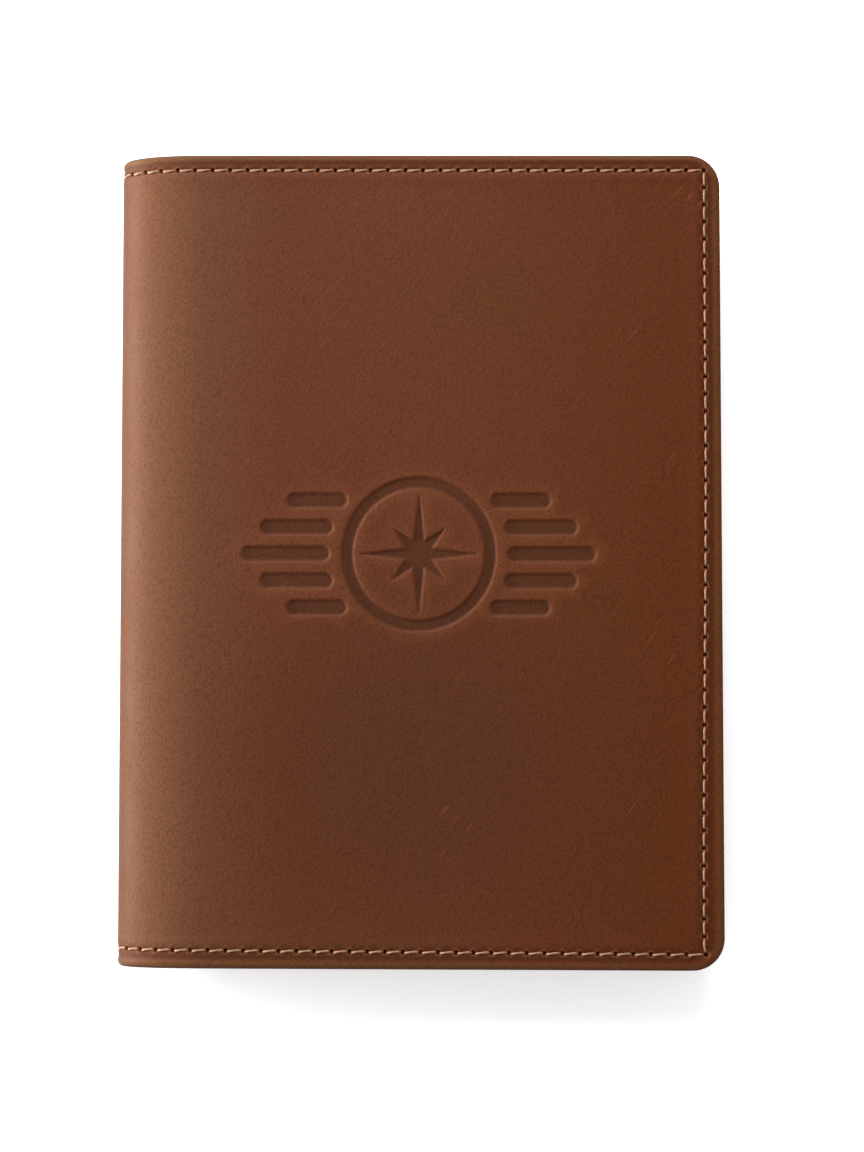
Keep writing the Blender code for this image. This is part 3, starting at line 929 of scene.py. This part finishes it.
class Nodes:
    """The nodes of a material or a world, and short ways to add to them."""

    def __init__(self, owner):
        owner.use_nodes = True
        self.tree = owner.node_tree

    def add(self, kind, inputs, **settings):
        """Adds a node, and wires or sets its inputs, which are given by name or by number."""
        node = self.tree.nodes.new(kind)
        for key, value in settings.items():
            setattr(node, key, value)
        self.fill(node, inputs)
        return node

    def fill(self, node, inputs):
        for key, value in inputs.items():
            if isinstance(value, bpy.types.NodeSocket):
                self.tree.links.new(value, node.inputs[key])
            else:
                node.inputs[key].default_value = value

    def attribute(self, name, output="Fac"):
        return self.add("ShaderNodeAttribute", {}, attribute_name=name).outputs[output]

    def math(self, operation, a, b=0.0, c=0.0):
        return self.add("ShaderNodeMath", {0: a, 1: b, 2: c}, operation=operation).outputs[0]

    def times(self, a, b):
        return self.math("MULTIPLY", a, b)

    def remap(self, value, low, high, to_low=0.0, to_high=1.0, kind="SMOOTHSTEP"):
        inputs = {"Value": value, "From Min": low, "From Max": high, "To Min": to_low, "To Max": to_high}
        return self.add("ShaderNodeMapRange", inputs, interpolation_type=kind).outputs["Result"]

    def mix(self, share, a, b, mode="MIX"):
        inputs = {0: share, 6: a, 7: b}
        return self.add("ShaderNodeMix", inputs, data_type="RGBA", blend_type=mode).outputs[2]

    def noise(self, vector, scale, detail=2.0, roughness=0.5, distortion=0.0):
        inputs = {"Vector": vector, "Scale": scale, "Detail": detail, "Roughness": roughness,
                  "Distortion": distortion}
        return self.add("ShaderNodeTexNoise", inputs).outputs["Fac"]

    def voronoi(self, vector, scale):
        inputs = {"Vector": vector, "Scale": scale}
        return self.add("ShaderNodeTexVoronoi", inputs, feature="SMOOTH_F1").outputs["Distance"]

    def bump(self, height, strength, distance):
        inputs = {"Height": height, "Strength": strength, "Distance": distance}
        return self.add("ShaderNodeBump", inputs).outputs["Normal"]

    def split(self, vector):
        return self.add("ShaderNodeSeparateXYZ", {0: vector}).outputs

    def shader(self, **inputs):
        """Fills the shader's inputs. They are named here with _ for each space."""
        named = {key.replace("_", " "): value for key, value in inputs.items()}
        self.fill(self.tree.nodes["Principled BSDF"], named)


def start_material(name):
    material = bpy.data.materials.new(name)
    return material, Nodes(material)


def rgb(r, g, b):
    return (r, g, b, 1.0)


def leather_material(name, base, red, olive, grain=1.0, with_seam=True):
    """Waxed, pebbled leather: fine grain, slow mottling, and tints. On the outer leather the spine is
    lighter from folding wear and a painted highlight, and the edge band is darker from burnishing and
    painted shade; on a pocket, the mouth has painted shade."""
    material, nodes = start_material(name)
    where = nodes.attribute("design", "Vector")
    slow = nodes.noise(where, 16, 2.0, 0.55, 0.6)
    patchy = nodes.noise(where, 60, 3.0, 0.6, 0.3)
    fine = nodes.noise(where, 3000, 2.0, 0.6)
    pebble = nodes.voronoi(where, 2500)
    color = nodes.mix(nodes.remap(slow, 0.36, 0.66), rgb(*red), rgb(*olive))
    color = nodes.mix(nodes.remap(patchy, 0.30, 0.72, 0.0, 0.55), color, rgb(*base))
    height = nodes.math("MULTIPLY_ADD", fine, 0.45, nodes.times(pebble, -1.0))
    tints = seam_wear_and_painted_light(nodes, where) if with_seam else mouth_shade_and_burnish(nodes)
    for share, strength, factors in tints:
        shade = rgb(*(part * factor for part, factor in zip(base, factors)))
        color = nodes.mix(nodes.times(share, strength), color, shade)
    color = nodes.mix(nodes.remap(pebble, 0.30, 0.75, 0.0, 0.42), color, rgb(0.58, 0.52, 0.48), "MULTIPLY")
    color = nodes.mix(nodes.remap(fine, 0.52, 0.72, 0.0, 0.55), color, rgb(1.35, 1.45, 1.55), "MULTIPLY")
    roughness = nodes.remap(patchy, 0.3, 0.7, 0.50, 0.60)
    normal = nodes.bump(height, 0.42 * grain, 0.09 * MM)
    nodes.shader(Base_Color=color, Roughness=roughness, Normal=normal, Specular_IOR_Level=0.07)
    return material


def mouth_shade_and_burnish(nodes):
    """A pocket's leather is painted darker along its mouth: painted shade along the creased line, and
    painted shadow along the rim, with some burnish.
    """
    return [
        # painted shade along the creased line
        (nodes.attribute("crease"), 0.55, (0.50, 0.45, 0.45)),
        # painted shadow along the mouth's rim, with some burnish
        (nodes.attribute("rim"), 0.75, (0.36, 0.32, 0.34)),
    ]


DARK_PATCH_CENTRE = (56 * MM, -34 * MM, 0)
SCUFF_ANGLE = math.radians(-52)


def seam_wear_and_painted_light(nodes, where):
    """The outer leather's tints. The middle of the spine has painted shade, and the spine's shoulders are
    lighter from folding wear and a painted highlight. Painted shade darkens the fore-edge half, a broad
    patch in the lower half of the cover is darker, and a few light scratches show. Between the seam and the
    edge the leather is darker from burnishing and from painted shade in the groove; the very edge is
    lighter from wear and a painted highlight, and its outermost rim has painted shade. The emblem is
    pressed darker, a painted highlight rings the emblem and the needle holes, and the holes have painted
    shade. Each row gives where a tint shows, how strongly, and what it multiplies the leather's base colour
    by."""
    across = nodes.split(where)[0]
    folded_wear_and_highlight = nodes.times(nodes.remap(across, 34 * MM, 10 * MM), nodes.remap(across, 1 * MM, 7 * MM))
    dark_patch = nodes.add("ShaderNodeVectorMath", {0: where, 1: DARK_PATCH_CENTRE}, operation="DISTANCE")
    edge = nodes.attribute("edge")
    burnish_and_groove_shade = nodes.times(nodes.remap(edge, 1.05, 1.5), nodes.remap(edge, 2.9, 2.3))
    edge_wear_and_highlight = nodes.times(nodes.remap(edge, 1.2, 0.8), nodes.remap(edge, 0.15, 0.5))
    return [
        # painted shade: the middle of the spine is painted darker and less red
        (nodes.remap(across, 6 * MM, 2 * MM), 1.0, (0.86, 1.02, 0.95)),
        # folding wear, with a painted highlight: the spine's shoulders are painted lighter and paler
        (folded_wear_and_highlight, 0.80, (1.27, 1.80, 2.45)),
        # painted shade: darker and more saturated towards the fore-edge, away from the key light
        (nodes.remap(across, 50 * MM, FORE_S), 0.9, (0.86, 0.68, 0.30)),
        # a broad patch, darker round a point in the lower half of the cover
        (nodes.remap(dark_patch.outputs["Value"], 46 * MM, 8 * MM), 0.72, (0.72, 0.74, 0.78)),
        (scuffs(nodes, where), 0.55, (1.7, 1.9, 2.1)),
        # burnish, with painted shade in the groove beside the seam
        (burnish_and_groove_shade, 0.55, (0.62, 0.52, 0.36)),
        # wear, with a painted highlight: the very edge is painted lighter and more olive
        (edge_wear_and_highlight, 0.5, (1.25, 1.85, 1.8)),
        # painted shade along the outermost rim, with a little burnish
        (nodes.remap(edge, 0.4, 0.05), 0.7, (0.30, 0.28, 0.30)),
        # painted highlight: a light ring round the emblem and the needle holes
        (nodes.attribute("halo"), 1.0, (1.6, 1.7, 1.8)),
        (nodes.attribute("pressed"), 0.5, (0.50, 0.62, 0.72)),
        # painted shade inside the needle holes
        (nodes.attribute("hole"), 0.9, (0.70513, 0.625, 0.39474)),
    ]


def scuffs(nodes, where):
    """A few short, thin, light scratches, all roughly one way."""
    inputs = {"Vector": where, "Angle": SCUFF_ANGLE}
    turned = nodes.add("ShaderNodeVectorRotate", inputs, rotation_type="Z_AXIS").outputs[0]
    stretched = nodes.add("ShaderNodeVectorMath", {0: turned, 1: (0.06, 1.0, 1.0)}, operation="MULTIPLY")
    streak = nodes.remap(nodes.noise(stretched.outputs[0], 2600, 0.0), 0.72, 0.80)
    where_worn = nodes.remap(nodes.noise(where, 90, 1.0), 0.60, 0.70)
    return nodes.times(streak, where_worn)


def thread_material():
    """Waxed tan thread with fine fibres."""
    material, nodes = start_material("waxed_thread")
    where = nodes.attribute("design", "Vector")
    fibre = nodes.noise(where, 5200, 3.0, 0.65)
    slow = nodes.noise(where, 240, 2.0)
    color = nodes.mix(nodes.remap(fibre, 0.3, 0.7), rgb(0.155, 0.070, 0.032), rgb(0.306, 0.154, 0.080))
    color = nodes.mix(nodes.remap(slow, 0.4, 0.7, 0.0, 0.35), color, rgb(0.170, 0.074, 0.033))
    nodes.shader(Base_Color=color, Roughness=0.55, Normal=nodes.bump(fibre, 0.5, 0.04 * MM))
    return material


TWILL_PITCH = 0.45 * MM


def lining_material():
    """Dark brown twill: two sets of threads that cross on the slant."""
    material, nodes = start_material("lining_twill")
    where = nodes.attribute("design", "Vector")
    parts = nodes.split(where)
    across, along = (nodes.times(parts[i], math.tau / TWILL_PITCH) for i in (0, 1))
    slanted = nodes.math("SINE", nodes.math("ADD", across, along))
    warp = nodes.math("SINE", nodes.times(across, 2.0))
    weave = nodes.math("MULTIPLY_ADD", warp, 0.35, slanted)
    slow = nodes.noise(where, 60, 2.0)
    color = nodes.mix(nodes.remap(weave, -1.0, 1.2), rgb(0.020, 0.010, 0.006), rgb(0.052, 0.027, 0.016))
    color = nodes.mix(nodes.remap(slow, 0.35, 0.7, 0.0, 0.3), color, rgb(0.034, 0.017, 0.010))
    normal = nodes.bump(weave, 0.5, 0.05 * MM)
    nodes.shader(Base_Color=color, Roughness=0.8, Normal=normal, Specular_IOR_Level=0.15)
    return material


def board_material():
    """Grey-brown fibre board with flecks. The CAD's own boards wear it, so it has no design coordinates."""
    material, nodes = start_material("fibre_board")
    where = nodes.add("ShaderNodeTexCoord", {}).outputs["Object"]
    fleck = nodes.noise(where, 2200, 4.0, 0.7)
    slow = nodes.noise(where, 180, 2.0)
    color = nodes.mix(nodes.remap(fleck, 0.35, 0.7), rgb(0.20, 0.165, 0.12), rgb(0.34, 0.29, 0.22))
    color = nodes.mix(nodes.remap(slow, 0.4, 0.7, 0.0, 0.4), color, rgb(0.24, 0.20, 0.15))
    nodes.shader(Base_Color=color, Roughness=0.92, Normal=nodes.bump(fleck, 0.4, 0.05 * MM))
    return material


def floor_material():
    """A pale floor that glows a little, so that it comes out as white as the photo's background."""
    material, nodes = start_material("pale_floor")
    nodes.shader(Base_Color=rgb(0.98, 0.98, 0.98), Roughness=0.9, Specular_IOR_Level=0.2)
    nodes.shader(Emission_Color=rgb(1.0, 1.0, 1.0), Emission_Strength=0.32)
    return material


def mark_leather(piece, side):
    """Stores what the leather's colour follows: millimetres from the edge, where it is pressed in, where
    painted shade fills a needle hole, and where a painted highlight rings the emblem and the needle holes."""
    s, y, depth = design_of(piece.data)
    turned_in = depth > 1.2 * EDGE_ROLL
    edge = np.where(turned_in, 3.5, np.clip(edge_distance(s, y) / MM, 0, 10))
    pressed, halo = np.zeros(len(s)), np.zeros(len(s))
    outside = depth < 0.9 * LEATHER
    if side == "front":
        near = outside & (np.abs(y) < 20 * MM)
        distance = emblem_distance(s[near], y[near])
        pressed[near] = smoothstep(0.5 - distance / EMBLEM_WALL)
        # painted highlight: a light ring round the pressed emblem
        halo[near] = 0.28 * bell((distance - 0.45 * MM) / (0.5 * MM))
    from_hole = hole_distance(s, y)
    # painted shade: how dark each needle hole is painted
    hole = np.where(outside, smoothstep((0.37 * MM - from_hole) / (0.17 * MM)), 0)
    # painted highlight: a light ring round each needle hole
    halo = np.maximum(halo, np.where(outside, 0.7 * bell((from_hole - 0.55 * MM) / (0.15 * MM)), 0))
    store(piece.data, edge=edge, pressed=pressed, halo=halo, hole=hole)


# ---- assembly


def blend_over_fold(piece):
    """Bakes a piece's transform into its mesh."""
    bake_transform(piece)


def finish_piece(piece, body):
    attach(piece, body)


def build_cover(side, materials):
    skin = outer_leather(side, materials["outer_leather"])
    mark_leather(skin, side)
    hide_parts(side + "_cover_leather", side + "_cover_hem", "spine_leather", "spine_hem_top",
                "spine_hem_bottom")
    blend_over_fold(skin)

    cloth = lining(side, materials["lining"])
    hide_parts(side + "_lining", "spine_lining")
    blend_over_fold(cloth)

    inner_depth = front_inner_depth if side == "front" else back_inner_depth
    for face, thread, depth_at, rises, slant in (
        ("outer", "needle", leather_without_holes, 1, 0.13 * MM),
        ("inner", "bobbin", inner_depth, -1, -0.08 * MM),
    ):
        name = f"{side}_{face}_stitches"
        run = stitch_run(name, side, seam_pairs(side), depth_at, rises, slant, materials["thread"])
        spine = f"spine_{thread}_thread"
        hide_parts(f"{side}_{thread}_thread", spine + "_top", spine + "_bottom")
        blend_over_fold(run)

    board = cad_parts[side + "_board"]
    board.data.materials.clear()
    board.data.materials.append(materials["board"])


def build_card_stitches(material, lift):
    """The row that closes the card slots on their spine side."""
    low, high = -HALF_HEIGHT + SEAM_INSET + 1.5 * MM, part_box("card_slot_upper")[1].y - 2.2 * MM
    count = round((high - low) / STITCH_PITCH)
    holes = straight((CARD_ROW_S, high), (CARD_ROW_S, low), count + 1, endpoint=True)

    def depth(s, y):
        return front_inner_depth(s, y) + lift(s, y)

    pairs = list(zip(holes[:-1], holes[1:]))
    row = stitch_run("card_slot_stitches", "front", pairs, depth, -1, 0, material)
    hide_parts("card_slot_thread")
    finish_piece(row, "front_cover")


def build_object():
    materials = {
        "outer_leather": leather_material(
            "outer_leather", (0.0780, 0.0224, 0.0076), (0.0815, 0.0218, 0.0084), (0.0750, 0.0232, 0.0068)
        ),
        "inner_leather": leather_material(
            "inner_leather", (0.085, 0.025, 0.0095), (0.089, 0.0245, 0.0100), (0.081, 0.026, 0.0085),
            grain=0.7, with_seam=False,
        ),
        "thread": thread_material(),
        "lining": lining_material(),
        "board": board_material(),
    }
    for side in ("front", "back"):
        build_cover(side, materials)
    build_pocket("slip_pocket", "front", SLIP_NOTCH_Y, materials)
    build_pocket("passport_sleeve", "back", 0.0, materials)
    lift = pocket_lift(start_s("slip_pocket"))
    build_card_slots(materials, lift)
    build_card_stitches(materials["thread"], lift)


# ---- stage


def area_light(name, location, target, size, power):
    data = bpy.data.lights.new(name, "AREA")
    data.shape = "RECTANGLE"
    data.size, data.size_y = size
    data.energy = power
    light = add_object(name, data)
    light.location = location
    light.rotation_euler = (Vector(target) - Vector(location)).to_track_quat("-Z", "Y").to_euler()


def build_stage():
    mesh = bpy.data.meshes.new("floor")
    reach, height = 3.0, -0.2 * MM
    corners = [(-reach, -reach), (reach, -reach), (reach, reach), (-reach, reach)]
    mesh.from_pydata([(x, y, height) for x, y in corners], [], [(0, 1, 2, 3)])
    mesh.materials.append(floor_material())
    floor = add_object("floor", mesh)

    build_dome()
    bpy.context.scene.view_settings.view_transform = "Standard"
    area_light("low_left", (-0.60, 0.10, 0.09), (0, 0, 0.005), (0.60, 0.14), 12.5)
    area_light("high_top", (-0.08, 0.47, 0.45), (0, 0, 0), (0.50, 0.50), 5.5)


def build_dome():
    """A white studio dome, darker overhead than at its sides."""
    world = bpy.data.worlds.new("studio")
    nodes = Nodes(world)
    direction = nodes.add("ShaderNodeTexCoord", {}).outputs["Generated"]
    strength = nodes.remap(nodes.split(direction)["Z"], 0.15, 0.95, 1.25, 0.30, kind="LINEAR")
    nodes.fill(nodes.tree.nodes["Background"], {"Color": rgb(1.0, 1.0, 1.0), "Strength": strength})
    bpy.context.scene.world = world


def build_camera():
    """A camera above the holder, tipped a little towards its bottom edge."""
    data = bpy.data.cameras.new("camera")
    data.sensor_width, data.lens = 36, 88.4
    camera = add_object("camera", data)
    aim = Vector((2.15 * MM, -3.2 * MM, THICKNESS))
    tilt = math.radians(4.0)
    distance = 0.485
    camera.location = aim + distance * Vector((0, -math.sin(tilt), math.cos(tilt)))
    camera.rotation_euler = (tilt, 0, 0)
    bpy.context.scene.camera = camera


build_object()
build_stage()
build_camera()
